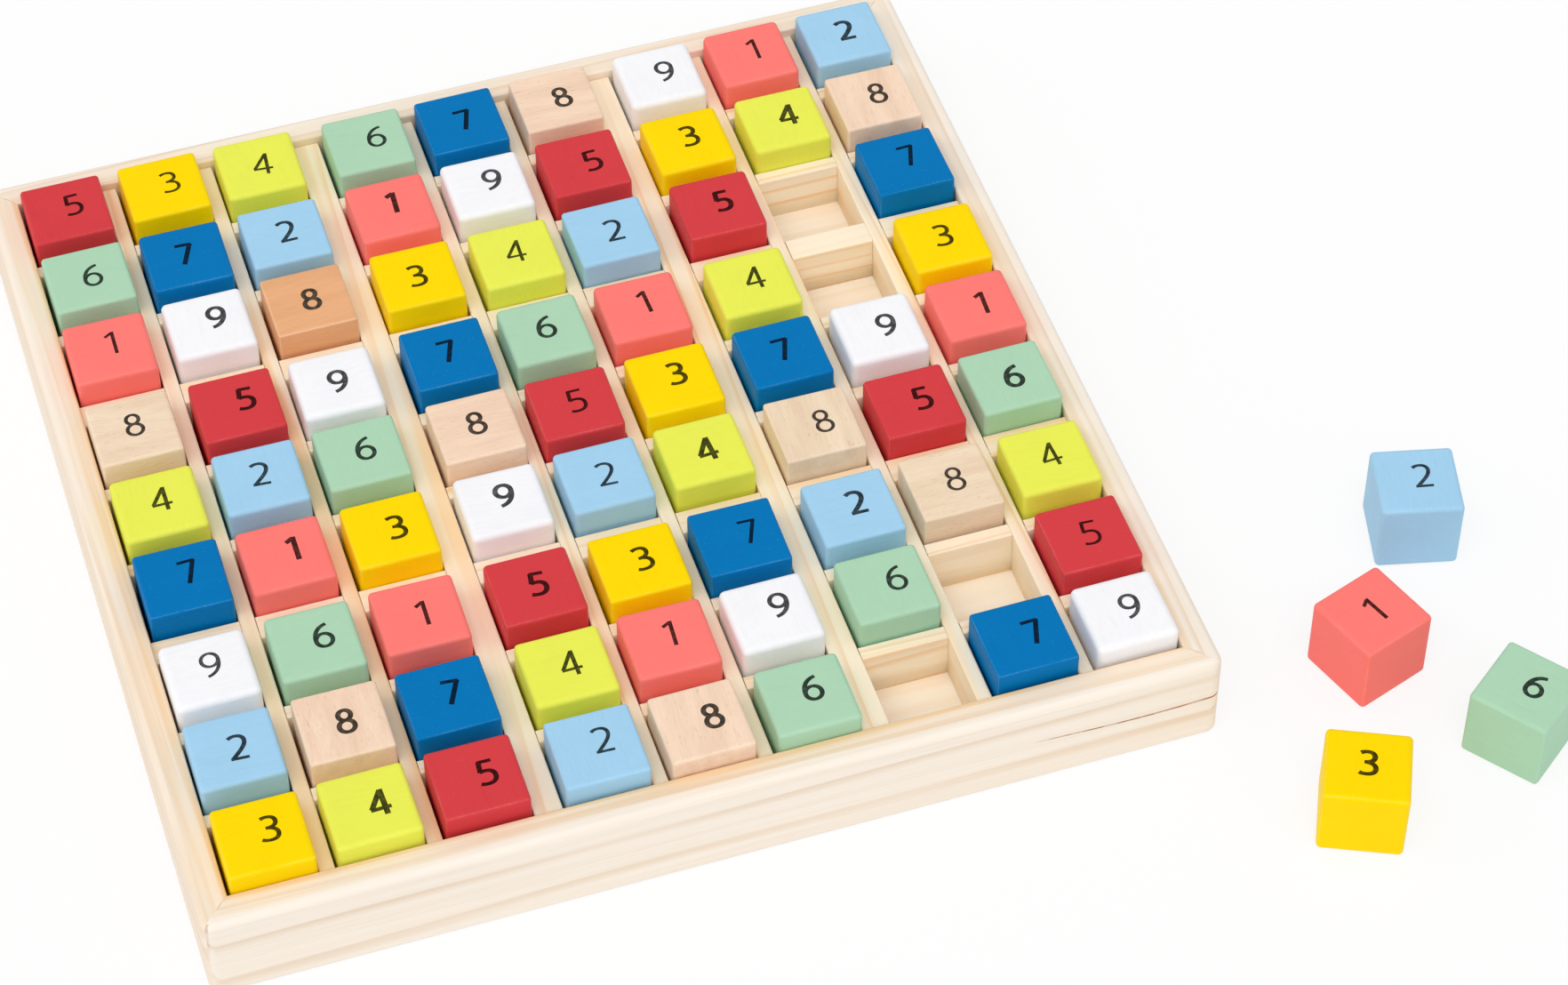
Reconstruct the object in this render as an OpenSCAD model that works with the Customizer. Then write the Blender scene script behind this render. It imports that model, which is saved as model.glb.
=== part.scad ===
// Wooden sudoku board: a square tray with a halved grid of slats, and coloured number cubes that lift out.
// Sizes are in millimetres. The origin is on the underside, at the middle of the tray.
// X runs along the front rail to the right, Y runs to the back and Z is up.

/* [Cubes] */
// Side of a number cube
cube_side = 19.6; // [16:0.1:24]
// Chamfer along the edges of a cube
cube_edge = 0.8; // [0.3:0.1:1.5]
// Clear gap on each side of a cube that stands in the middle of its cell
cell_play = 0.55; // [0.2:0.05:0.8]
// Share of the gap that a seated cube's offset may take up
offset_share = 0.7; // [0:0.05:0.75]
// Share of that offset by which all seated cubes stand to the right
right_share = 0.5; // [0:0.1:1]
// Share of the gap that a seated cube's turn may take up
turn_share = 0.15; // [0:0.05:0.2]

/* [Grid] */
// Thickness of a slat between two cells of one block
slat_w = 3.6; // [3:0.1:5]
// Thickness of a bar between two blocks
bar_w = 6.6; // [4:0.1:9]
// Depth of the grid's top below the top of the rails
grid_drop = 2.2; // [0.5:0.1:4]
// Radius along the top edges of the slats and bars
slat_round = 0.4; // [0.3:0.1:1.2]
// Clear gap in the halved joints of the grid
lap_play = 0.1; // [0.05:0.05:0.3]

/* [Tray] */
// Thickness of a rail
rail_t = 7.5; // [6:0.5:12]
// Height of a rail
rail_h = 24.5; // [20:0.5:30]
// Thickness of the base board
base_t = 9.7; // [5:0.1:11]
// Width of the rail's lip over the edge of the base board
base_lip = 2; // [1:0.5:4]
// Radius of the tray's upright corners
corner_r = 3; // [1:0.5:6]
// Radius along the outer top edge of the rails
round_over = 1.8; // [0.5:0.1:2.8]
// Radius along the inner top edge of the rails
inner_round = 0.5; // [0.3:0.1:2]
// Radius along the outer bottom edge of the rails
foot_round = 1; // [0.3:0.1:2]
// Clear gap at the mitres, at the slats' ends and round the base board
joint_gap = 0.1; // [0.05:0.05:0.3]

/* [Loose cubes] */
// Distance of the loose cubes one, two, three and six from the tray's right side
loose_x = [39.5, 65, 21, 64]; // [18:0.5:120]
// Distance of the same cubes behind the line of the tray's front
loose_y = [7.5, 41, -33.5, -24]; // [-100:0.5:200]
// Turn of the same cubes, in degrees
loose_turn = [19, -14, -25, -52.5]; // [-90:0.5:90]

/* [Hidden] */
$fn = 48;

// Blocks along a side, cells along the side of a block, and cells along a side
BLOCKS = 3;
BLOCK = 3;
CELLS = BLOCKS * BLOCK;

// Numbers in the cells, back row first, with a dot for an empty cell, and the numbers that lie loose
ROWS = [
    "534678912",
    "672195348",
    "1983425.7",
    "8597614.3",
    "426853791",
    "713924856",
    "961537284",
    "2874196.5",
    "345286.79"
];
LOOSE = [1, 2, 3, 6];

// Colours of the cubes one to nine, and of the bare wood
PAINTS = ["#f9645b", "#a3cbe6", "#ffd516", "#dfe63c", "#c23238", "#b0d8b8", "#0071b4", "#ecd3b4", "#f6f5f1"];
PINE = "#ead2ad";
PLY = "#e4cba2";

// Grid spacing, and the tray's inner and outer width
cell = cube_side + 2 * cell_play;
pitch = cell + slat_w;
block_extra = bar_w - slat_w;
inner_w = CELLS * cell + (CELLS - BLOCKS) * slat_w + (BLOCKS - 1) * bar_w;
outer_w = inner_w + 2 * rail_t;
grid_h = rail_h - base_t - grid_drop;
base_w = inner_w + 2 * (base_lip - joint_gap);
slat_l = inner_w - 2 * joint_gap;

// Farthest that a seated cube stands from the middle of its cell, and its largest turn
seat_shift = offset_share * cell_play;
seat_turn = atan(turn_share * cell_play / (cube_side / 2));

// Steps of the angles that scatter the seated cubes, in degrees
SCATTER_X = [97, 151];
SCATTER_Y = [173, 67];
SCATTER_TURN = [131, 113];

// Middle of a column, counted from the left, and of the slat or bar before it
function middle(i) = (i - (CELLS - 1) / 2) * pitch + (floor(i / BLOCK) - (BLOCKS - 1) / 2) * block_extra;
function between(i) = (middle(i - 1) + middle(i)) / 2;
function is_bar(i) = i % BLOCK == 0;
function width_at(i) = is_bar(i) ? bar_w : slat_w;
SLATS = [for (i = [1 : CELLS - 1]) if (!is_bar(i)) i];
BARS = [for (i = [1 : CELLS - 1]) if (is_bar(i)) i];

// Number of a cell, the cells that hold a cube, and which of those share a node with others of their number
function number(at) = ord(ROWS[at[0]][at[1]]) - ord("0");
function holds_cube(at) = ROWS[at[0]][at[1]] != ".";
function in_set(at) = (at[0] + at[1]) % 2 == 1;
SEATED = [for (r = [0 : CELLS - 1]) for (c = [0 : CELLS - 1]) if (holds_cube([r, c])) [r, c]];
SINGLES = [for (at = SEATED) if (!in_set(at)) at];
NUMBERS = [1 : CELLS];

// Names of the nodes
function single_name(at) = str("cube_", number(at), "_row", at[0] + 1, "_col", at[1] + 1);
function loose_name(n) = str("loose_cube_", n);
function set_name(n) = str("cube_set_", n);

// What is cut away to round one corner of a section, with the corner at the origin
module corner_waste(r) {
    difference() {
        square(r);
        translate([r, r]) circle(r);
    }
}

// Section of a rail: the inner face at zero, the outer face at rail_t
module rail_section() {
    difference() {
        square([rail_t, rail_h]);
        square([base_lip, base_t]);
        translate([0, rail_h]) mirror([0, 1]) corner_waste(inner_round);
        translate([rail_t, rail_h]) rotate(180) corner_waste(round_over);
        translate([rail_t, 0]) mirror([1, 0]) corner_waste(foot_round);
    }
}

// Plan of the tray with round corners
module tray_plan() {
    flat_w = outer_w - 2 * corner_r;
    square([outer_w, flat_w], center = true);
    square([flat_w, outer_w], center = true);
    for (x = [-1, 1], y = [-1, 1]) translate([x, y] * flat_w / 2) circle(corner_r);
}

// A rail along the front, with its ends mitred on the tray's diagonals
module rail() {
    intersection() {
        translate([outer_w / 2, -inner_w / 2, 0]) rotate([90, 0, -90]) linear_extrude(outer_w) rail_section();
        translate([0, -joint_gap, 0]) linear_extrude(rail_h)
            polygon([[0, 0], [-outer_w, -outer_w], [outer_w, -outer_w]]);
        linear_extrude(rail_h) tray_plan();
    }
}

module front_rail() { color(PINE) rail(); }
module right_rail() { color(PINE) rotate(90) rail(); }
module back_rail() { color(PINE) rotate(180) rail(); }
module left_rail() { color(PINE) rotate(-90) rail(); }

// Board under the cells, let into the rails from below and flush with their undersides
module base_board() {
    color(PLY) translate([-base_w / 2, -base_w / 2, 0]) cube([base_w, base_w, base_t]);
}

// Section of a slat or bar, with its top edges rounded
module slat_section(w) {
    difference() {
        translate([-w / 2, 0]) square([w, grid_h]);
        translate([-w / 2, grid_h]) mirror([0, 1]) corner_waste(slat_round);
        translate([w / 2, grid_h]) rotate(180) corner_waste(slat_round);
    }
}

// A slat along X at its place, with a row of notches in its lower or upper half
module notched_slat(i, notch_low) {
    w = width_at(i);
    notch_h = grid_h / 2 + lap_play;
    translate([0, between(i), base_t]) difference() {
        translate([-slat_l / 2, 0, 0]) rotate([90, 0, 90]) linear_extrude(slat_l) slat_section(w);
        for (k = [1 : CELLS - 1]) {
            notch_w = width_at(k) + 2 * lap_play;
            translate([between(k) - notch_w / 2, -w, notch_low ? -lap_play : grid_h - notch_h])
                cube([notch_w, 2 * w, notch_h + lap_play]);
        }
    }
}

module row_slats() { color(PINE) for (i = SLATS) notched_slat(i, false); }
module row_bars() { color(PINE) for (i = BARS) notched_slat(i, false); }
module column_slats() { color(PINE) rotate(90) for (i = SLATS) notched_slat(i, true); }
module column_bars() { color(PINE) rotate(90) for (i = BARS) notched_slat(i, true); }

// Square with its corners cut by the cube's chamfer
module chamfered_square() {
    h = cube_side / 2;
    c = h - cube_edge;
    polygon([[-c, -h], [c, -h], [h, -c], [h, c], [c, h], [-c, h], [-h, c], [-h, -c]]);
}

// A number cube that stands on the plane z = 0
module number_cube(n) {
    color(PAINTS[n - 1]) translate([0, 0, cube_side / 2]) intersection() {
        linear_extrude(cube_side, center = true) chamfered_square();
        rotate([90, 0, 0]) linear_extrude(cube_side, center = true) chamfered_square();
        rotate([0, 90, 0]) linear_extrude(cube_side, center = true) chamfered_square();
    }
}

// A cube in its cell, a little off the middle and a little turned
module seated_cube(at) {
    x = middle(at[1]) + seat_shift * (right_share + (1 - right_share) * sin(SCATTER_X * at));
    y = -middle(at[0]) + seat_shift * sin(SCATTER_Y * at);
    translate([x, y, base_t]) rotate(seat_turn * sin(SCATTER_TURN * at)) number_cube(number(at));
}

// The seated cubes of one number that share a node
module cube_set(n) {
    for (at = SEATED) if (in_set(at) && number(at) == n) seated_cube(at);
}

// A cube on the table, placed from the tray's front right corner
module loose_cube(n) {
    i = search(n, LOOSE)[0];
    translate([outer_w / 2 + loose_x[i], loose_y[i] - outer_w / 2, 0]) rotate(loose_turn[i]) number_cube(n);
}

front_rail();
right_rail();
back_rail();
left_rail();
base_board();
row_slats();
row_bars();
column_slats();
column_bars();
for (at = SINGLES) seated_cube(at);
for (n = LOOSE) loose_cube(n);
for (n = NUMBERS) cube_set(n);
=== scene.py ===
"""Looks of a wooden sudoku board: a pine tray with a halved grid of slats, and cubes with printed numbers.

Lengths are in metres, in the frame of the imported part: X along the front rail, Y to the back, Z up.
"""

import cmath
import math
import random

import bmesh
import bpy
from mathutils import Euler, Matrix, Vector
from mathutils.geometry import delaunay_2d_cdt, interpolate_bezier


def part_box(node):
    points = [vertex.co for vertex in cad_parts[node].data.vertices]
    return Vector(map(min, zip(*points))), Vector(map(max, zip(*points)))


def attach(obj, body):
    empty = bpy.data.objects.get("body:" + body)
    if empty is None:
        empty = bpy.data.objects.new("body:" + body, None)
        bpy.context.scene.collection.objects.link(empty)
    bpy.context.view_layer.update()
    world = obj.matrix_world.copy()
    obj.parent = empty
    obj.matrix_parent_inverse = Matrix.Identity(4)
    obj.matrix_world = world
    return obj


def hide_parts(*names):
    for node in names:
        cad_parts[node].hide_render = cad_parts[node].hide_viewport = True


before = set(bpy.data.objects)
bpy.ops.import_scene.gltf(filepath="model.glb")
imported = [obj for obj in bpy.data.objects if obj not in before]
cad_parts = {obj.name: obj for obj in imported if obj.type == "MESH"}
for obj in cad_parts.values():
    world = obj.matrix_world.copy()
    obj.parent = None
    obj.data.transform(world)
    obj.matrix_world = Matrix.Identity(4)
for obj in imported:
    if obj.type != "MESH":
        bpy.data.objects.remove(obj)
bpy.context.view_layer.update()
MM = 0.001

# Points nearer than this are one point, and heights nearer than this are level
MERGE = 0.001 * MM
LEVEL = 0.01 * MM

# Sizes of the tray, from the frame
HALF = -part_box("front_rail")[0].y
INNER = -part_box("front_rail")[1].y
RAIL_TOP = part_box("front_rail")[1].z
BASE_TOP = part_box("base_board")[1].z
GRID_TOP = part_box("row_slats")[1].z
RAIL_T = HALF - INNER

# Small sizes that the boxes don't give, as on the solids
BOARD_GAP = 0.1 * MM
LAP_PLAY = 0.1 * MM
CORNER_R = 3 * MM
ROUND_OVER = 1.8 * MM
INNER_ROUND = 0.5 * MM
FOOT_ROUND = 1 * MM
SLAT_ROUND = 0.4 * MM

# Held back at each mitre, which is less than on the solids, so that the joint shows as a thin line
MITRE_GAP = 0.002 * MM

# How each kind of piece lies in its log: tilt of the grain in radians, and distance from the heart
RAIL_LOG = (0.02, 40 * MM)
SLAT_LOG = (0.03, 25 * MM)
CUBE_LOG = (0.1, 0.5)

# Crack along the right end of the front rail: where it starts, its height and depth, its half width at the
# rail's end and at its start, and the width of the brown edge on each side
CRACK_START = 74 * MM
CRACK_Z = 13.2 * MM
CRACK_DEPTH = 0.5 * MM
CRACK_HALF = 0.14 * MM
CRACK_LEAST = 0.01 * MM
CRACK_HALO = 0.25 * MM

# Waves of the crack: their height and their length per radian, and four times its sag halfway along
CRACK_WANDER = 0.25 * MM
CRACK_WAVE = 9 * MM
CRACK_SAG = 6 * CRACK_WANDER

# How soon the crack turns fully brown as it opens
CRACK_BROWNING = 3

# Stain at the top of the front left corner: its brownness, how far in from the outer face it reaches, and the
# angle round the corner at which it starts
STAIN_BROWN = 0.5
STAIN_REACH = 1.2 * MM
STAIN_ANGLE = math.radians(30)

# Share of warm wood along the outer and the inner edge of each rail
WARMTH = {
    "front_rail": (0.0, 1.4),
    "right_rail": (0.0, 0.6),
    "back_rail": (0.25, 0.6),
    "left_rail": (0.4, 1.2),
}

# Rounding of a cube's edges by number, in millimetres, and how far single cubes differ from it
EDGE_R = {"1": 1.2, "2": 1.0, "3": 1.2, "4": 1.2, "5": 1.0, "6": 1.1, "7": 0.9, "8": 0.8, "9": 1.5}
EDGE_R_SPREAD = 0.15

# Range of tones of the beech cubes, the cube with the strongest tone, and that tone
BEECH_TONES = (0.0, 0.72)
ORANGE_CUBE = "cube_8_row3_col3"
ORANGE_TONE = 1.0

# The loose cube whose digit is turned a quarter further than the turn that its corners give
FAR_TURNED = "loose_cube_6"

# Printed numbers: height of a digit, its place on the top face, how far its place and turn vary, the lightest
# and the boldest pen as shares of the height, and how far the ink goes into the face and stands above it
DIGIT_H = 7.2 * MM
DIGIT_PLACE = (1.3 * MM, 0.6 * MM)
DIGIT_SPREAD = (1.4 * MM, 0.8 * MM)
DIGIT_TURN = math.radians(2.5)
DIGIT_WEIGHT = (0.105, 0.17)
INK_SUNK = 0.02 * MM
INK_RISE = 0.025 * MM

# Share of the ground's colour that the ink leaves where it lies thick and where it lies thin
INK_DARK = 0.045
INK_THIN = 0.12

# Half width of the pen on a level stroke, and what an upright one adds, as shares of the pen's weight
PEN_LEVEL = 0.42
PEN_UPRIGHT = 0.13

# Camera: place, the point of the table that it looks at, roll, lens and sensor in millimetres, and reach
CAMERA_AT = Vector((-0.1717, -0.6942, 0.8116))
CAMERA_AIM = Vector((0.0460, -0.0181, 0.0))
CAMERA_ROLL = math.radians(-0.315)
CAMERA_LENS = 103.27
CAMERA_SENSOR = 36
CAMERA_REACH = 20

# Table: share of plain white in what the camera sees of it, colour, half width, and drop below the board
FLOOR_WHITE = 0.8
FLOOR_COLOUR = (0.93, 0.93, 0.93, 1.0)
FLOOR_HALF = 6.0
FLOOR_DROP = 0.02 * MM

# Light: level of the surroundings, and the lamps with azimuth and elevation in degrees, strength, and angle
WORLD_LEVEL = 0.6
LAMPS = {
    "front_lamp": (-30, 58, 1.05, 45),
    "left_lamp": (-100, 34, 0.4, 45),
    "right_lamp": (35, 45, 0.32, 60),
}
WHITE = (1.0, 1.0, 1.0, 1.0)

# One seeded row of numbers for all that varies from piece to piece
draw = random.Random(81)


# Node helpers


def srgb(red, green, blue):
    """A colour on the 0 to 255 scale as the linear colour that a socket takes."""
    def linear(part):
        part /= 255
        return part / 12.92 if part <= 0.04045 else ((part + 0.055) / 1.055) ** 2.4
    return (linear(red), linear(green), linear(blue), 1.0)


def shade(colour, factor):
    """A colour made lighter or darker."""
    return tuple(min(part * factor, 1.0) for part in colour[:3]) + (1.0,)


def towards(colour, other, share):
    """A colour moved a share of the way to another."""
    return tuple(a + (b - a) * share for a, b in zip(colour, other))


def add(tree, kind, inputs, output=0, **settings):
    """Adds a shader node, sets or links its inputs and gives back one of its outputs."""
    made = tree.nodes.new("ShaderNode" + kind)
    for name, value in settings.items():
        setattr(made, name, value)
    for key, value in inputs.items():
        if isinstance(value, bpy.types.NodeSocket):
            tree.links.new(value, made.inputs[key])
        else:
            made.inputs[key].default_value = value
    return made.outputs[output] if made.outputs else None


def calc(tree, operation, first, second=0.0):
    """One step of arithmetic on one or two values."""
    return add(tree, "Math", {0: first, 1: second}, operation=operation)


def stretch(tree, vector, scale):
    """A vector scaled along each axis."""
    return add(tree, "VectorMath", {0: vector, 1: scale}, operation="MULTIPLY")


def noise(tree, vector, scale, detail=2.0):
    """Noise whose features are 1 / scale metres long on each axis."""
    inputs = {"Vector": stretch(tree, vector, scale), "Scale": 1.0, "Detail": detail}
    return add(tree, "TexNoise", inputs)


def step(tree, value, low, high, to_low=0.0, to_high=1.0):
    """A smooth step from one value to another."""
    inputs = {"Value": value, "From Min": low, "From Max": high, "To Min": to_low, "To Max": to_high}
    return add(tree, "MapRange", inputs, interpolation_type="SMOOTHSTEP")


def mix(tree, factor, first, second):
    """A mix of two colours."""
    return add(tree, "Mix", {0: factor, 6: first, 7: second}, output=2, data_type="RGBA")


def attribute(tree, name, output="Vector"):
    """What the mesh holds under a name."""
    return add(tree, "Attribute", {}, output=output, attribute_name=name)


def bump(tree, height, strength, distance):
    """A normal that shows a height as relief."""
    return add(tree, "Bump", {"Height": height, "Strength": strength, "Distance": distance})


def seen_plainly(tree):
    """1 for what the camera sees, straight or in gloss or glass, and 0 for rays that only carry light."""
    seen = add(tree, "LightPath", {}, output="Is Camera Ray")
    for ray in ("Is Glossy Ray", "Is Transmission Ray"):
        seen = calc(tree, "MAXIMUM", seen, add(tree, "LightPath", {}, output=ray))
    return seen


def new_material(name):
    """An empty material and its tree."""
    material = bpy.data.materials.new(name)
    material.use_nodes = True
    material.node_tree.nodes.clear()
    return material, material.node_tree


def finish_material(tree, inputs):
    """Adds the shader and the output."""
    shader = add(tree, "BsdfPrincipled", inputs)
    add(tree, "OutputMaterial", {"Surface": shader})


# Materials


# Colours of single features
STAIN = srgb(176, 118, 74)
# Pale colour of the specks of dust, and the colour that the painted highlight on the cubes' edges moves
# towards
DUST_AND_SHEEN = srgb(255, 250, 240)
BEECH_CREAM = srgb(243, 222, 194)
BEECH_ROSY = srgb(248, 219, 194)
BEECH_ORANGE = srgb(236, 176, 128)
BEECH_MARK = srgb(190, 136, 92)
# Pale colour of the painted highlight along the beech cubes' edges
BEECH_EDGE_HIGHLIGHT = srgb(250, 232, 208)

# Colours of the paints by number, and of the ground under the ink on bare beech
PAINTS = {
    "1": srgb(254, 125, 118),
    "2": srgb(162, 207, 236),
    "3": srgb(255, 217, 0),
    "4": srgb(233, 237, 86),
    "5": srgb(212, 64, 69),
    "6": srgb(172, 212, 181),
    "7": srgb(0, 116, 182),
    "9": srgb(246, 246, 249),
}
BEECH_GROUND = srgb(240, 212, 184)


def pine(name, pale, dark, warm, ring, contrast, banding, object_space=False):
    """Sanded pine: thin late rings about the heart of the tree, warm bands, fine fibres and a few flecks."""
    material, tree = new_material(name)
    if object_space:
        place = add(tree, "TexCoord", {}, output="Object")
    else:
        place = attribute(tree, "grain_co")

    # Late wood: a dark line that comes up slowly and ends at once, at each turn of the rings
    wander = noise(tree, place, (3, 16, 16))
    radial = stretch(tree, place, (0, 1, 1))
    heart = add(tree, "VectorMath", {0: radial}, output="Value", operation="LENGTH")
    turns = calc(tree, "ADD", calc(tree, "DIVIDE", heart, ring), calc(tree, "MULTIPLY", wander, 1.6))
    phase = calc(tree, "FRACT", turns)
    rise = calc(tree, "POWER", step(tree, phase, 0.58, 0.93), 2.0)
    fall = step(tree, phase, 0.93, 1.0, 1.0, 0.0)
    late = calc(tree, "MULTIPLY", rise, fall)
    patch = step(tree, noise(tree, place, (7, 50, 50)), 0.3, 0.7, 0.15, 1.0)

    # Fibres, flecks and streaks along the grain
    fibre = noise(tree, place, (30, 1700, 1700), detail=3.0)
    fleck = step(tree, noise(tree, place, (260, 4200, 4200)), 0.69, 0.76)
    band = step(tree, noise(tree, place, (4, 150, 150)), 0.52, 0.75)
    streak = noise(tree, place, (9, 420, 420))

    # Warm bands, some of them along an edge of the piece
    uneven = step(tree, streak, 0.35, 0.65, 0.4, 1.3)
    edge_band = calc(tree, "MULTIPLY", attribute(tree, "tone", "Fac"), uneven)
    warmed = calc(tree, "MAXIMUM", calc(tree, "MULTIPLY", band, banding), edge_band)

    # Colour: pale to warm, darkened by the grain, with brown where the piece is stained
    ringed = calc(tree, "MULTIPLY", calc(tree, "MULTIPLY", late, patch), contrast)
    lined = calc(tree, "ADD", ringed, step(tree, streak, 0.35, 0.7, -0.02, 0.1))
    streaked = calc(tree, "ADD", lined, step(tree, fibre, 0.3, 0.75, -0.03, 0.08))
    spotted = calc(tree, "ADD", streaked, calc(tree, "MULTIPLY", fleck, 0.12))
    ground = mix(tree, calc(tree, "MULTIPLY", warmed, 0.75), pale, warm)
    base = mix(tree, spotted, ground, dark)
    smudge = step(tree, noise(tree, place, (420, 420, 420)), 0.3, 0.6, 0.5, 1.0)
    brown = calc(tree, "MULTIPLY", attribute(tree, "stain_wear_and_sheen", "Fac"), smudge)
    colour = mix(tree, brown, base, STAIN)
    height = calc(tree, "ADD", fibre, calc(tree, "MULTIPLY", late, 0.6))
    finish_material(tree, {
        "Base Color": colour,
        "Roughness": step(tree, fibre, 0.2, 0.8, 0.66, 0.54),
        "Specular IOR Level": 0.2,
        "Normal": bump(tree, height, 0.12, 0.1 * MM),
    })
    return material


def paint(name, colour):
    """Satin paint on wood: grain, dents, pores, dust specks, and lighter edges, partly rubbed and partly a
    painted highlight.
    """
    material, tree = new_material(name)
    place = attribute(tree, "grain_co")
    cloud = noise(tree, place, (90, 90, 90))
    grain = noise(tree, place, (330, 1500, 1500), detail=4.0)
    dent = step(tree, noise(tree, place, (420, 420, 420), detail=1.0), 0.68, 0.74)
    pore = step(tree, noise(tree, place, (70, 1300, 1300)), 0.58, 0.72)
    peel = noise(tree, place, (2200, 2200, 2200), detail=2.0)
    speck = step(tree, noise(tree, place, (2600, 2600, 2600), detail=1.0), 0.71, 0.77)

    # Coat: a faint change of shade with the clouds and the grain, darker pores and pale specks
    clouded = step(tree, cloud, 0.25, 0.75, 0.0, 0.5)
    tone = calc(tree, "ADD", clouded, step(tree, grain, 0.3, 0.7, 0.0, 0.5))
    coat = mix(tree, tone, shade(colour, 0.97), shade(colour, 1.02))
    pored = mix(tree, calc(tree, "MULTIPLY", pore, 0.2), coat, shade(colour, 0.87))
    specked = mix(tree, calc(tree, "MULTIPLY", speck, 0.05), pored, DUST_AND_SHEEN)

    # Edges that are lighter: partly paint rubbed thin, partly a painted highlight along the rounded edges
    ragged = calc(tree, "ADD", attribute(tree, "stain_wear_and_sheen", "Fac"), calc(tree, "MULTIPLY", cloud, 0.3))
    thin = calc(tree, "ADD", ragged, calc(tree, "MULTIPLY", peel, 0.25))
    rubbed_and_highlit = step(tree, thin, 1.14, 1.36)
    worn_and_highlit = mix(tree, calc(tree, "MULTIPLY", rubbed_and_highlit, 0.14), specked, towards(colour, DUST_AND_SHEEN, 0.5))

    # Relief of the wood under the coat
    relief = calc(tree, "ADD", calc(tree, "MULTIPLY", grain, 0.7), calc(tree, "MULTIPLY", peel, 0.4))
    height = calc(tree, "SUBTRACT", relief, calc(tree, "MAXIMUM", dent, pore))
    finish_material(tree, {
        "Base Color": worn_and_highlit,
        "Roughness": step(tree, peel, 0.2, 0.8, 0.5, 0.4),
        "Specular IOR Level": 0.05,
        "Normal": bump(tree, height, 0.08, 0.07 * MM),
    })
    return material


def beech(name):
    """Bare beech: short ray flecks along the grain, in a tone of each cube's own."""
    material, tree = new_material(name)
    place = attribute(tree, "grain_co")
    tone = attribute(tree, "tone", "Fac")
    pale = mix(tree, step(tree, tone, 0.0, 0.6), BEECH_CREAM, BEECH_ROSY)
    base = mix(tree, step(tree, tone, 0.7, 1.0), pale, BEECH_ORANGE)
    fleck = step(tree, noise(tree, place, (500, 2600, 1500)), 0.6, 0.74)
    band = step(tree, noise(tree, place, (30, 260, 260), detail=3.0), 0.3, 0.75)
    fibre = noise(tree, place, (160, 2400, 2400), detail=2.0)
    streak = calc(tree, "ADD", calc(tree, "MULTIPLY", band, 0.2), step(tree, fibre, 0.3, 0.75, 0.0, 0.1))
    marked = calc(tree, "ADD", calc(tree, "MULTIPLY", fleck, 0.22), streak)
    wood = mix(tree, marked, base, BEECH_MARK)
    # Paler along the rounded edges: a painted highlight
    pale_edge_highlight = calc(tree, "MULTIPLY", step(tree, attribute(tree, "stain_wear_and_sheen", "Fac"), 0.7, 1.0), 0.3)
    height = calc(tree, "ADD", fibre, fleck)
    finish_material(tree, {
        "Base Color": mix(tree, pale_edge_highlight, wood, BEECH_EDGE_HIGHLIGHT),
        "Roughness": step(tree, band, 0.0, 1.0, 0.55, 0.65),
        "Specular IOR Level": 0.2,
        "Normal": bump(tree, height, 0.12, 0.08 * MM),
    })
    return material


def ink(name, under):
    """Thin printing ink, which darkens the colour of its ground unevenly."""
    material, tree = new_material(name)
    place = attribute(tree, "grain_co")
    thin = step(tree, noise(tree, place, (900, 900, 900), detail=3.0), 0.35, 0.75)
    finish_material(tree, {
        "Base Color": mix(tree, thin, shade(under, INK_DARK), shade(under, INK_THIN)),
        "Roughness": step(tree, noise(tree, place, (1500, 1500, 1500)), 0.3, 0.7, 0.42, 0.58),
        "Specular IOR Level": 0.05,
    })
    return material


looks = {number: paint("paint_" + number, colour) for number, colour in PAINTS.items()}
looks["8"] = beech("bare_beech")
inks = {number: ink("ink_" + number, PAINTS.get(number, BEECH_GROUND)) for number in looks}
rail_pine = pine(
    "rail_pine",
    pale=srgb(247, 237, 224),
    dark=srgb(221, 189, 151),
    warm=srgb(240, 205, 160),
    ring=5 * MM,
    contrast=0.46,
    banding=0.2,
)
slat_pine = pine(
    "slat_pine",
    pale=srgb(255, 241, 216),
    dark=srgb(247, 192, 126),
    warm=srgb(255, 212, 156),
    ring=3.5 * MM,
    contrast=0.62,
    banding=0.8,
)
board_wood = pine(
    "board_wood",
    pale=srgb(255, 246, 230),
    dark=srgb(246, 221, 188),
    warm=srgb(254, 232, 203),
    ring=11 * MM,
    contrast=0.45,
    banding=0.8,
    object_space=True,
)


# Mesh helpers


def layers(bm):
    """The attributes that the materials read: place in the log, stains, edge wear with a painted edge
    highlight, and tone.
    """
    floats = bm.verts.layers.float
    return bm.verts.layers.float_vector.new("grain_co"), floats.new("stain_wear_and_sheen"), floats.new("tone")


def grain_frame(tilt, reach):
    """A seeded place and tilt for a piece in the log that it was cut from, whose heart runs along X."""
    turn = Euler((draw.uniform(-3, 3), draw.uniform(-tilt, tilt), draw.uniform(-tilt, tilt)))
    along = draw.uniform(-1, 1)
    aside = draw.uniform(-reach, reach)
    shift = Vector((along, aside, draw.uniform(0.5 * reach, 1.5 * reach)))
    return Matrix.Translation(shift) @ turn.to_matrix().to_4x4()


def key_of(point):
    """A key that points in one place share."""
    return tuple(round(part / MERGE) for part in point)


def set_grain(bm, layer, log):
    """Gives each corner its place in the log."""
    for vert in bm.verts:
        vert[layer] = log @ vert.co


def make_piece(name, bm, materials, body, node, place):
    """Turns a bmesh into a piece that stands for a CAD node and moves with its body."""
    mesh = bpy.data.meshes.new(name)
    bm.to_mesh(mesh)
    bm.free()
    for material in materials:
        mesh.materials.append(material)
    piece = bpy.data.objects.new(name, mesh)
    bpy.context.scene.collection.objects.link(piece)
    piece.matrix_world = place
    weighted = piece.modifiers.new("weighted_normals", "WEIGHTED_NORMAL")
    weighted.keep_sharp = True
    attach(piece, body)
    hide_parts(node)


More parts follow.
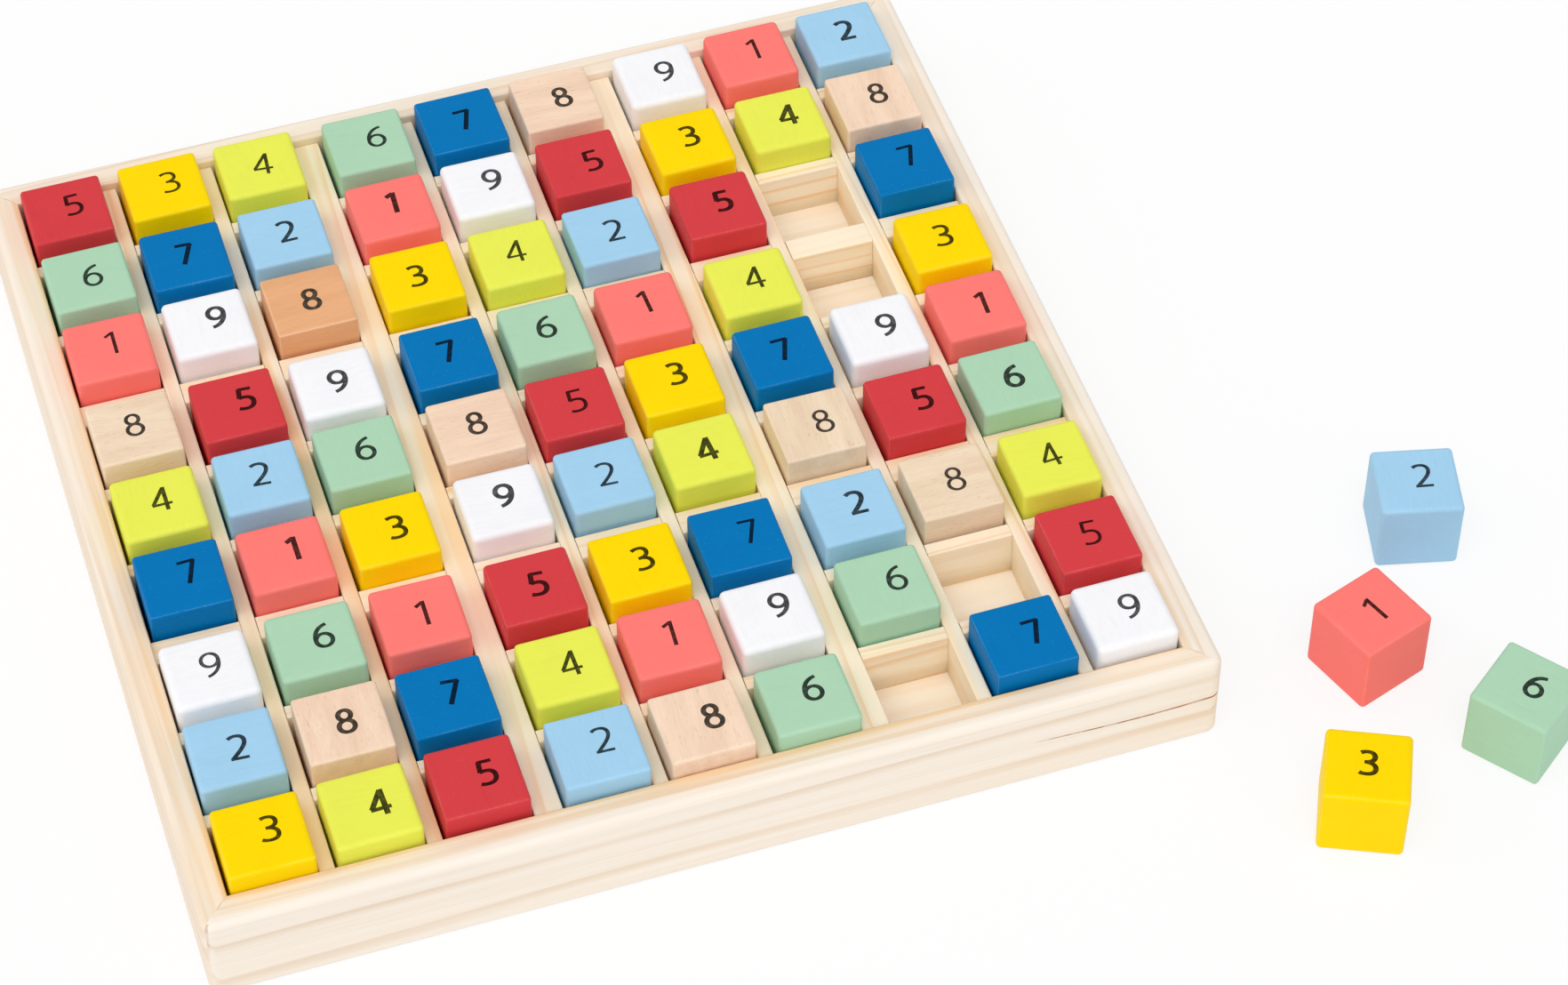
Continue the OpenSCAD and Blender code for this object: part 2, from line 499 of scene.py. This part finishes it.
def solids(node):
    """The corners of each separate solid of a CAD node, in a fixed order."""
    bm = bmesh.new()
    bm.from_mesh(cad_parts[node].data)
    bmesh.ops.remove_doubles(bm, verts=bm.verts, dist=MERGE)
    left = set(bm.verts)
    found = []
    while left:
        todo = [left.pop()]
        group = []
        while todo:
            vert = todo.pop()
            group.append(vert.co.to_tuple())
            near = {edge.other_vert(vert) for edge in vert.link_edges} & left
            left -= near
            todo.extend(near)
        found.append(sorted(group))
    bm.free()
    return [[Vector(point) for point in group] for group in sorted(found)]


def box_of(points):
    """Lowest and highest corners of the box round some points."""
    low = Vector(min(p[axis] for p in points) for axis in range(3))
    high = Vector(max(p[axis] for p in points) for axis in range(3))
    return low, high


def arc(centre, radii, start, end, steps):
    """Points along an arc of an ellipse, with its angles in degrees."""
    angles = [math.radians(start + (end - start) * i / steps) for i in range(steps + 1)]
    return [(centre[0] + radii[0] * math.cos(a), centre[1] + radii[1] * math.sin(a)) for a in angles]


# Rails


# Rows of points across the crack: place in half widths, place in halos, share of the depth, brownness
CRACK_ROWS = ((-1, -1, 0, 0), (-1, 0, 0, 1), (0, 0, 1, 1), (1, 0, 0, 1), (1, 1, 0, 0))


def rail_section(cracked):
    """Outline of a rail as depth behind the outer face and height, and the indices of the crack's points."""
    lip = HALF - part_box("base_board")[1].x - BOARD_GAP
    steps = 5
    outline = [(lip, 0.0)]
    outline += arc((FOOT_ROUND, FOOT_ROUND), (FOOT_ROUND, FOOT_ROUND), 270, 180, steps)
    crack = []
    if cracked:
        crack = list(range(len(outline), len(outline) + len(CRACK_ROWS)))
        outline += [(0.0, CRACK_Z)] * len(CRACK_ROWS)
    outline += arc((ROUND_OVER, RAIL_TOP - ROUND_OVER), (ROUND_OVER, ROUND_OVER), 180, 90, steps)
    inner_centre = (RAIL_T - INNER_ROUND, RAIL_TOP - INNER_ROUND)
    outline += arc(inner_centre, (INNER_ROUND, INNER_ROUND), 90, 0, steps)
    outline += [(RAIL_T, BASE_TOP), (lip, BASE_TOP)]
    return outline, crack


def rail_stations():
    """Steps along a rail: round half a corner, along the rail, and round half the next corner.

    Each is the corner's side and the angle round it, or 0 and the share of the half length.
    """
    turns = 5
    spans = 48
    left = [(-1, math.radians(45 * (1 - i / turns))) for i in range(turns)]
    middle = [(0, 2 * i / spans - 1) for i in range(spans + 1)]
    right = [(1, math.radians(45 * (i + 1) / turns)) for i in range(turns)]
    return left + middle + right


def rail_point(station, depth, height):
    """A point of the front rail: its path turns about the corner's centre at the ends."""
    nearly_mitre = math.radians(44.9)
    side, share = station
    straight = HALF - max(depth, CORNER_R)
    radius = max(CORNER_R - depth, 0.0)
    if side == 0:
        return Vector((straight * share, depth - HALF, height))
    along = straight + radius * math.sin(share)
    if share > nearly_mitre:
        along -= MITRE_GAP
    return Vector((side * along, -straight - radius * math.cos(share), height))


def is_stained(station, depth, height):
    """Whether a point of the front rail lies in the stain at its left end."""
    side, share = station
    return side * share < -STAIN_ANGLE and depth < STAIN_REACH and height > RAIL_TOP / 2


def crack_offsets(x):
    """The crack's opening and wander at a place along the front rail."""
    share = min(max((x - CRACK_START) / (HALF - CRACK_START), 0.0), 1.0)
    wander = CRACK_WANDER * math.sin(x / CRACK_WAVE) - CRACK_SAG * share * (1 - share)
    return math.sqrt(share), wander


def make_rail(name, quarter):
    """A rail swept along its side of the tray, with half a round corner and a mitre at each end."""
    bm = bmesh.new()
    grain, stain_wear_and_sheen, tone = layers(bm)
    in_front = name == "front_rail"
    outline, crack = rail_section(in_front)
    outer_warmth, inner_warmth = WARMTH[name]
    known = {}
    rings = []
    for station in rail_stations():
        ring = []
        for index, (depth, height) in enumerate(outline):
            brown = STAIN_BROWN if in_front and is_stained(station, depth, height) else 0.0
            if index in crack:
                opening, wander = crack_offsets(rail_point(station, depth, height).x)
                halves, halos, deep, brown = CRACK_ROWS[index - crack[0]]
                height += wander + halves * max(CRACK_HALF * opening, CRACK_LEAST) + halos * CRACK_HALO
                depth += CRACK_DEPTH * opening * deep
                brown *= min(CRACK_BROWNING * opening, 1.0)
            point = rail_point(station, depth, height)
            key = key_of(point)
            if key not in known:
                known[key] = bm.verts.new(point)
                known[key][stain_wear_and_sheen] = brown
                known[key][tone] = inner_warmth if depth > RAIL_T / 2 else outer_warmth
            ring.append(known[key])
        rings.append(ring)
    count = len(outline)
    for first, second in zip(rings, rings[1:]):
        for i in range(count):
            k = (i + 1) % count
            corners = list(dict.fromkeys((first[i], first[k], second[k], second[i])))
            if len(corners) > 2 and bm.faces.get(corners) is None:
                bm.faces.new(corners)
    caps = [bm.faces.new(list(dict.fromkeys(ring))) for ring in (rings[0][::-1], rings[-1])]
    bmesh.ops.recalc_face_normals(bm, faces=bm.faces)
    for face in bm.faces:
        face.smooth = True
    for cap in caps:
        for edge in cap.edges:
            edge.smooth = False
    set_grain(bm, grain, grain_frame(*RAIL_LOG))
    place = Matrix.Rotation(math.radians(90 * quarter), 4, "Z")
    make_piece(name + "_wood", bm, [rail_pine], "tray", name, place)


for quarter, rail in enumerate(("front_rail", "right_rail", "back_rail", "left_rail")):
    make_rail(rail, quarter)


# Slats and bars


def slat_elevation(length, crossing, notch_low):
    """Outline of a slat seen from its side, with a notch where each of the others crosses it."""
    depth = (GRID_TOP - BASE_TOP) / 2 + LAP_PLAY
    edge = BASE_TOP if notch_low else GRID_TOP
    back = GRID_TOP if notch_low else BASE_TOP
    floor = edge + depth if notch_low else edge - depth
    outline = [(-length / 2, back), (-length / 2, edge)]
    for low, high in crossing:
        start = low - LAP_PLAY
        end = high + LAP_PLAY
        outline += [(start, edge), (start, floor), (end, floor), (end, edge)]
    return outline + [(length / 2, edge), (length / 2, back)]


def is_top_edge(edge):
    """Whether an edge runs along the top of a slat."""
    first, second = (vert.co for vert in edge.verts)
    along = abs(first.x - second.x) > abs(first.y - second.y)
    return along and min(first.z, second.z) > GRID_TOP - LEVEL


def make_slat(name, node, low, high, crossing, across):
    """A slat along X, or along Y where it runs across, rounded along its top edges."""
    axis = 1 if across else 0
    length = high[axis] - low[axis]
    width = high[1 - axis] - low[1 - axis]
    bm = bmesh.new()
    grain = layers(bm)[0]
    outline = slat_elevation(length, crossing, across)
    side = bm.faces.new([bm.verts.new((x, -width / 2, z)) for x, z in outline])
    grown = bmesh.ops.extrude_face_region(bm, geom=[side])["geom"]
    for part in grown:
        if isinstance(part, bmesh.types.BMVert):
            part.co.y = width / 2
    bmesh.ops.recalc_face_normals(bm, faces=bm.faces)
    top = [edge for edge in bm.edges if is_top_edge(edge)]
    bmesh.ops.bevel(bm, geom=top, offset=SLAT_ROUND, segments=4, profile=0.5, affect="EDGES")
    for face in bm.faces:
        face.smooth = True
    bmesh.ops.triangulate(bm, faces=[face for face in bm.faces if len(face.verts) > 4])
    set_grain(bm, grain, grain_frame(*SLAT_LOG))
    middle = (low + high) / 2
    turn = Matrix.Rotation(math.radians(90 * axis), 4, "Z")
    place = Matrix.Translation((middle.x, middle.y, 0)) @ turn
    make_piece(name, bm, [slat_pine], "tray", node, place)


def sides_of(nodes, axis):
    """Where the slats and bars of these nodes begin and end along an axis, in order."""
    boxes = [box_of(points) for node in nodes for points in solids(node)]
    return sorted((low[axis], high[axis]) for low, high in boxes)


ROW_NODES = ("row_slats", "row_bars")
COLUMN_NODES = ("column_slats", "column_bars")
row_sides = sides_of(ROW_NODES, 1)
column_sides = sides_of(COLUMN_NODES, 0)
for node in ROW_NODES + COLUMN_NODES:
    across = node in COLUMN_NODES
    crossing = row_sides if across else column_sides
    spaced_axis = 0 if across else 1
    boxes = sorted((box_of(points) for points in solids(node)), key=lambda box: box[0][spaced_axis])
    for index, (low, high) in enumerate(boxes):
        make_slat(f"{node[:-1]}_{index + 1}", node, low, high, crossing, across)


# Digits, drawn as pen strokes in units of their height, with Y up


def curve(*points):
    """Points along cubic curves: a start, then two handles and an end for each."""
    steps = 10
    path = [points[0]]
    for i in range(1, len(points), 3):
        ends = [Vector((*point, 0)) for point in (path[-1], *points[i:i + 3])]
        path += [(p.x, p.y) for p in interpolate_bezier(*ends, steps)[1:]]
    return path


SIX_W = 0.6


def six():
    """A six: a spine that bends into a round bowl."""
    spine = curve((0.54, 0.945), (0.26, 0.9), (0.07, 0.68), (0.07, 0.34))
    return [spine, arc((0.335, 0.315), (0.265, 0.265), 0, 360, 28)]


def nine():
    """A nine is a six turned half round."""
    return [[(SIX_W - x, 1 - y) for x, y in stroke] for stroke in six()]


STROKES = {
    "1": [[(0.0, 0.8), (0.25, 0.955)], [(0.26, 1.0), (0.26, 0.0)]],
    "2": [
        curve((0.04, 0.86),
              (0.12, 0.93), (0.2, 0.95), (0.28, 0.95),
              (0.45, 0.95), (0.54, 0.85), (0.54, 0.72),
              (0.54, 0.5), (0.3, 0.3), (0.07, 0.04)),
        [(0.02, 0.055), (0.6, 0.055)],
    ],
    "3": [
        curve((0.05, 0.89),
              (0.13, 0.94), (0.2, 0.95), (0.27, 0.95),
              (0.43, 0.95), (0.51, 0.86), (0.51, 0.75),
              (0.51, 0.6), (0.38, 0.53), (0.18, 0.53)),
        curve((0.18, 0.53),
              (0.42, 0.53), (0.56, 0.44), (0.56, 0.28),
              (0.56, 0.12), (0.42, 0.05), (0.25, 0.05),
              (0.16, 0.05), (0.1, 0.06), (0.03, 0.1)),
    ],
    "4": [[(0.47, 0.97), (0.03, 0.285)], [(0.0, 0.27), (0.66, 0.27)], [(0.47, 0.0), (0.47, 1.0)]],
    "5": [
        [(0.09, 0.945), (0.53, 0.945)],
        [(0.13, 0.97), (0.1, 0.53)],
        curve((0.08, 0.545),
              (0.16, 0.57), (0.21, 0.575), (0.27, 0.575),
              (0.46, 0.575), (0.55, 0.47), (0.55, 0.32),
              (0.55, 0.14), (0.42, 0.05), (0.24, 0.05),
              (0.15, 0.05), (0.09, 0.065), (0.03, 0.09)),
    ],
    "6": six(),
    "7": [[(0.0, 0.945), (0.57, 0.945)], [(0.545, 0.97), (0.2, 0.0)]],
    "8": [arc((0.31, 0.745), (0.205, 0.205), 0, 360, 24), arc((0.31, 0.29), (0.255, 0.24), 0, 360, 28)],
    "9": nine(),
}


def stroke_quads(stroke, weight):
    """The pen's quads along a stroke. Upright stretches are broader than level ones."""
    path = [Vector(point) for point in stroke]
    tolerance = 1e-6
    closed = (path[0] - path[-1]).length < tolerance
    edges = []
    for i, point in enumerate(path):
        before = path[i - 1] if i > 0 else (path[-2] if closed else point)
        after = path[i + 1] if i + 1 < len(path) else (path[1] if closed else point)
        along = (after - before).normalized()
        half = weight * (PEN_LEVEL + PEN_UPRIGHT * abs(along.y))
        across = Vector((-along.y, along.x)) * half
        edges.append((point + across, point - across))
    return [(a[0], a[1], b[1], b[0]) for a, b in zip(edges, edges[1:])]


def digit_plan(number, weight):
    """Corners and triangles of a digit, with its strokes made into one plan about its middle."""
    corners = []
    faces = []
    for stroke in STROKES[number]:
        for quad in stroke_quads(stroke, weight):
            faces.append(list(range(len(corners), len(corners) + 4)))
            corners += quad
    inside_only = 1
    tolerance = 1e-5
    points, _, found, _, _, sources = delaunay_2d_cdt(corners, [], faces, inside_only, tolerance)
    triangles = [triangle for triangle, source in zip(found, sources) if source]
    low = Vector(min(p[axis] for p in points) for axis in range(2))
    high = Vector(max(p[axis] for p in points) for axis in range(2))
    scale = DIGIT_H / (high.y - low.y)
    return [(p - (low + high) / 2) * scale for p in points], triangles


def add_digit(bm, number, half):
    """Prints a digit on the top of a cube as a thin closed solid of ink."""
    points, triangles = digit_plan(number, draw.uniform(*DIGIT_WEIGHT))
    turn = Matrix.Rotation(draw.gauss(0, DIGIT_TURN), 2)
    usual = zip(DIGIT_PLACE, DIGIT_SPREAD)
    spot = Vector(middle + draw.uniform(-spread, spread) for middle, spread in usual)
    placed = [turn @ point + spot for point in points]
    tops = [bm.verts.new((p.x, p.y, half + INK_RISE)) for p in placed]
    feet = [bm.verts.new((p.x, p.y, half - INK_SUNK)) for p in placed]
    faces = []
    rims = {}
    for a, b, c in triangles:
        faces.append(bm.faces.new((tops[a], tops[b], tops[c])))
        faces.append(bm.faces.new((feet[c], feet[b], feet[a])))
        for pair in ((a, b), (b, c), (c, a)):
            rims[pair] = True
    for a, b in rims:
        if (b, a) not in rims:
            faces.append(bm.faces.new((tops[b], tops[a], feet[a], feet[b])))
    for face in faces:
        face.material_index = 1
    loose = [vert for vert in tops + feet if not vert.link_faces]
    bmesh.ops.delete(bm, geom=loose, context="VERTS")


# Cubes


def edge_lines(half, radius):
    """Grid lines across a face, from edge to edge, and how near each is to the edge, from 1 down to 0."""
    steps = 3
    margin = 0.9 * MM
    bends = [math.tan(math.radians(45 * (1 - i / steps))) for i in range(steps + 1)]
    near = [half - radius * (1 - bend) for bend in bends] + [half - radius - margin]
    rank = [1.0, 0.85, 0.6, 0.4, 0.0]
    lines = [-x for x in near] + near[::-1]
    return lines, rank + rank[::-1]


def rounded_cube(bm, stain_wear_and_sheen, half, radius):
    """A cube with round edges and corners, from a grid on each face that is drawn in to the rounding."""
    lines, rank = edge_lines(half, radius)
    core = half - radius
    known = {}

    def corner(point, near):
        key = key_of(point)
        if key not in known:
            inside = Vector(max(-core, min(core, part)) for part in point)
            known[key] = bm.verts.new(inside + (Vector(point) - inside).normalized() * radius)
            # Nearness to the edge, which the paint turns into rubbed edges and a painted highlight along them
            known[key][stain_wear_and_sheen] = near
        return known[key]

    count = len(lines)
    for axis in range(3):
        for sign in (-1, 1):
            grid = []
            for i in range(count):
                row = []
                for j in range(count):
                    point = [0.0, 0.0, 0.0]
                    point[axis] = sign * half
                    point[(axis + 1) % 3] = lines[i]
                    point[(axis + 2) % 3] = lines[j]
                    row.append(corner(point, max(rank[i], rank[j])))
                grid.append(row)
            for i in range(count - 1):
                for j in range(count - 1):
                    quad = (grid[i][j], grid[i + 1][j], grid[i + 1][j + 1], grid[i][j + 1])
                    face = bm.faces.new(quad if sign > 0 else quad[::-1])
                    face.smooth = True


def turn_of(points, middle):
    """Turn of a cube about Z, from the fourfold moment of its corners."""
    moment = sum(complex(p.x - middle.x, p.y - middle.y) ** 4 for p in points)
    return cmath.phase(-moment) / 4


def make_cube(name, node, number, points):
    """A number cube in place of one solid of a CAD node."""
    low, high = box_of(points)
    middle = (low + high) / 2
    half = (high.z - low.z) / 2
    bm = bmesh.new()
    grain, stain_wear_and_sheen, tone = layers(bm)
    radius = (EDGE_R[number] + draw.uniform(-EDGE_R_SPREAD, EDGE_R_SPREAD)) * MM
    rounded_cube(bm, stain_wear_and_sheen, half, radius)
    add_digit(bm, number, half)
    log = grain_frame(*CUBE_LOG)
    quarters = draw.choice((0, 0, 1))
    set_grain(bm, grain, log @ Matrix.Rotation(math.radians(90 * quarters), 4, "Z"))
    own_tone = ORANGE_TONE if node == ORANGE_CUBE else draw.uniform(*BEECH_TONES)
    for vert in bm.verts:
        vert[tone] = own_tone
    turn = turn_of(points, middle)
    if node == FAR_TURNED:
        turn -= math.radians(90)
    place = Matrix.Translation(middle) @ Matrix.Rotation(turn, 4, "Z")
    make_piece(name, bm, [looks[number], inks[number]], node, node, place)


for node in sorted(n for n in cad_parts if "cube" in n):
    number = next(letter for letter in node if letter.isdigit())
    for points in solids(node):
        low, high = box_of(points)
        middle = (low + high) / 2
        row = 1 + sum(middle.y < side for side, _ in row_sides)
        column = 1 + sum(middle.x > side for side, _ in column_sides)
        where = "loose" if node.startswith("loose") else f"row{row}_col{column}"
        make_cube(f"block_{number}_{where}", node, number, points)

# Base board: its solid is right, and takes a finish of its own
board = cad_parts["base_board"]
board.data.materials.clear()
board.data.materials.append(board_wood)


# Floor, light and camera


def make_floor():
    """White table that the camera sees at nearly full white, with a faint shadow of the board."""
    material, tree = new_material("white_table")
    seen = seen_plainly(tree)
    white = add(tree, "Emission", {"Color": WHITE, "Strength": 1.0})
    lit = add(tree, "BsdfDiffuse", {"Color": FLOOR_COLOUR})
    shown = add(tree, "MixShader", {0: FLOOR_WHITE, 1: lit, 2: white})
    surface = add(tree, "MixShader", {0: seen, 1: lit, 2: shown})
    add(tree, "OutputMaterial", {"Surface": surface})
    signs = ((-1, -1), (1, -1), (1, 1), (-1, 1))
    corners = [(x * FLOOR_HALF, y * FLOOR_HALF, 0) for x, y in signs]
    mesh = bpy.data.meshes.new("table")
    mesh.from_pydata(corners, [], [(0, 1, 2, 3)])
    mesh.materials.append(material)
    floor = bpy.data.objects.new("table", mesh)
    floor.location.z = -FLOOR_DROP
    bpy.context.scene.collection.objects.link(floor)


def make_world():
    """Even white surroundings, which show as plain white and light the object at their own level."""
    world = bpy.data.worlds.new("studio")
    world.use_nodes = True
    tree = world.node_tree
    tree.nodes.clear()
    seen = seen_plainly(tree)
    level = step(tree, seen, 0.0, 1.0, WORLD_LEVEL, 1.0)
    back = add(tree, "Background", {"Color": WHITE, "Strength": level})
    add(tree, "OutputWorld", {"Surface": back})
    bpy.context.scene.world = world


def make_lamp(name, azimuth, elevation, strength, angle):
    """A broad soft lamp that shines from a direction, with azimuth 0 in front and 90 on the right."""
    lamp = bpy.data.lights.new(name, "SUN")
    lamp.energy = strength
    lamp.angle = math.radians(angle)
    lit = bpy.data.objects.new(name, lamp)
    turn = math.radians(azimuth)
    rise = math.radians(elevation)
    level = math.cos(rise)
    source = Vector((math.sin(turn) * level, -math.cos(turn) * level, math.sin(rise)))
    lit.rotation_euler = source.to_track_quat("Z", "Y").to_euler()
    bpy.context.scene.collection.objects.link(lit)


def make_camera():
    """The camera at the photograph's viewing angle."""
    data = bpy.data.cameras.new("camera")
    data.lens = CAMERA_LENS
    data.sensor_width = CAMERA_SENSOR
    data.sensor_fit = "HORIZONTAL"
    data.clip_end = CAMERA_REACH
    camera = bpy.data.objects.new("camera", data)
    aim = (CAMERA_AIM - CAMERA_AT).to_track_quat("-Z", "Y").to_matrix().to_4x4()
    camera.matrix_world = Matrix.Translation(CAMERA_AT) @ aim @ Matrix.Rotation(CAMERA_ROLL, 4, "Z")
    bpy.context.scene.collection.objects.link(camera)
    bpy.context.scene.camera = camera


make_floor()
make_world()
for name, numbers in LAMPS.items():
    make_lamp(name, *numbers)
make_camera()
bpy.context.scene.view_settings.view_transform = "Standard"
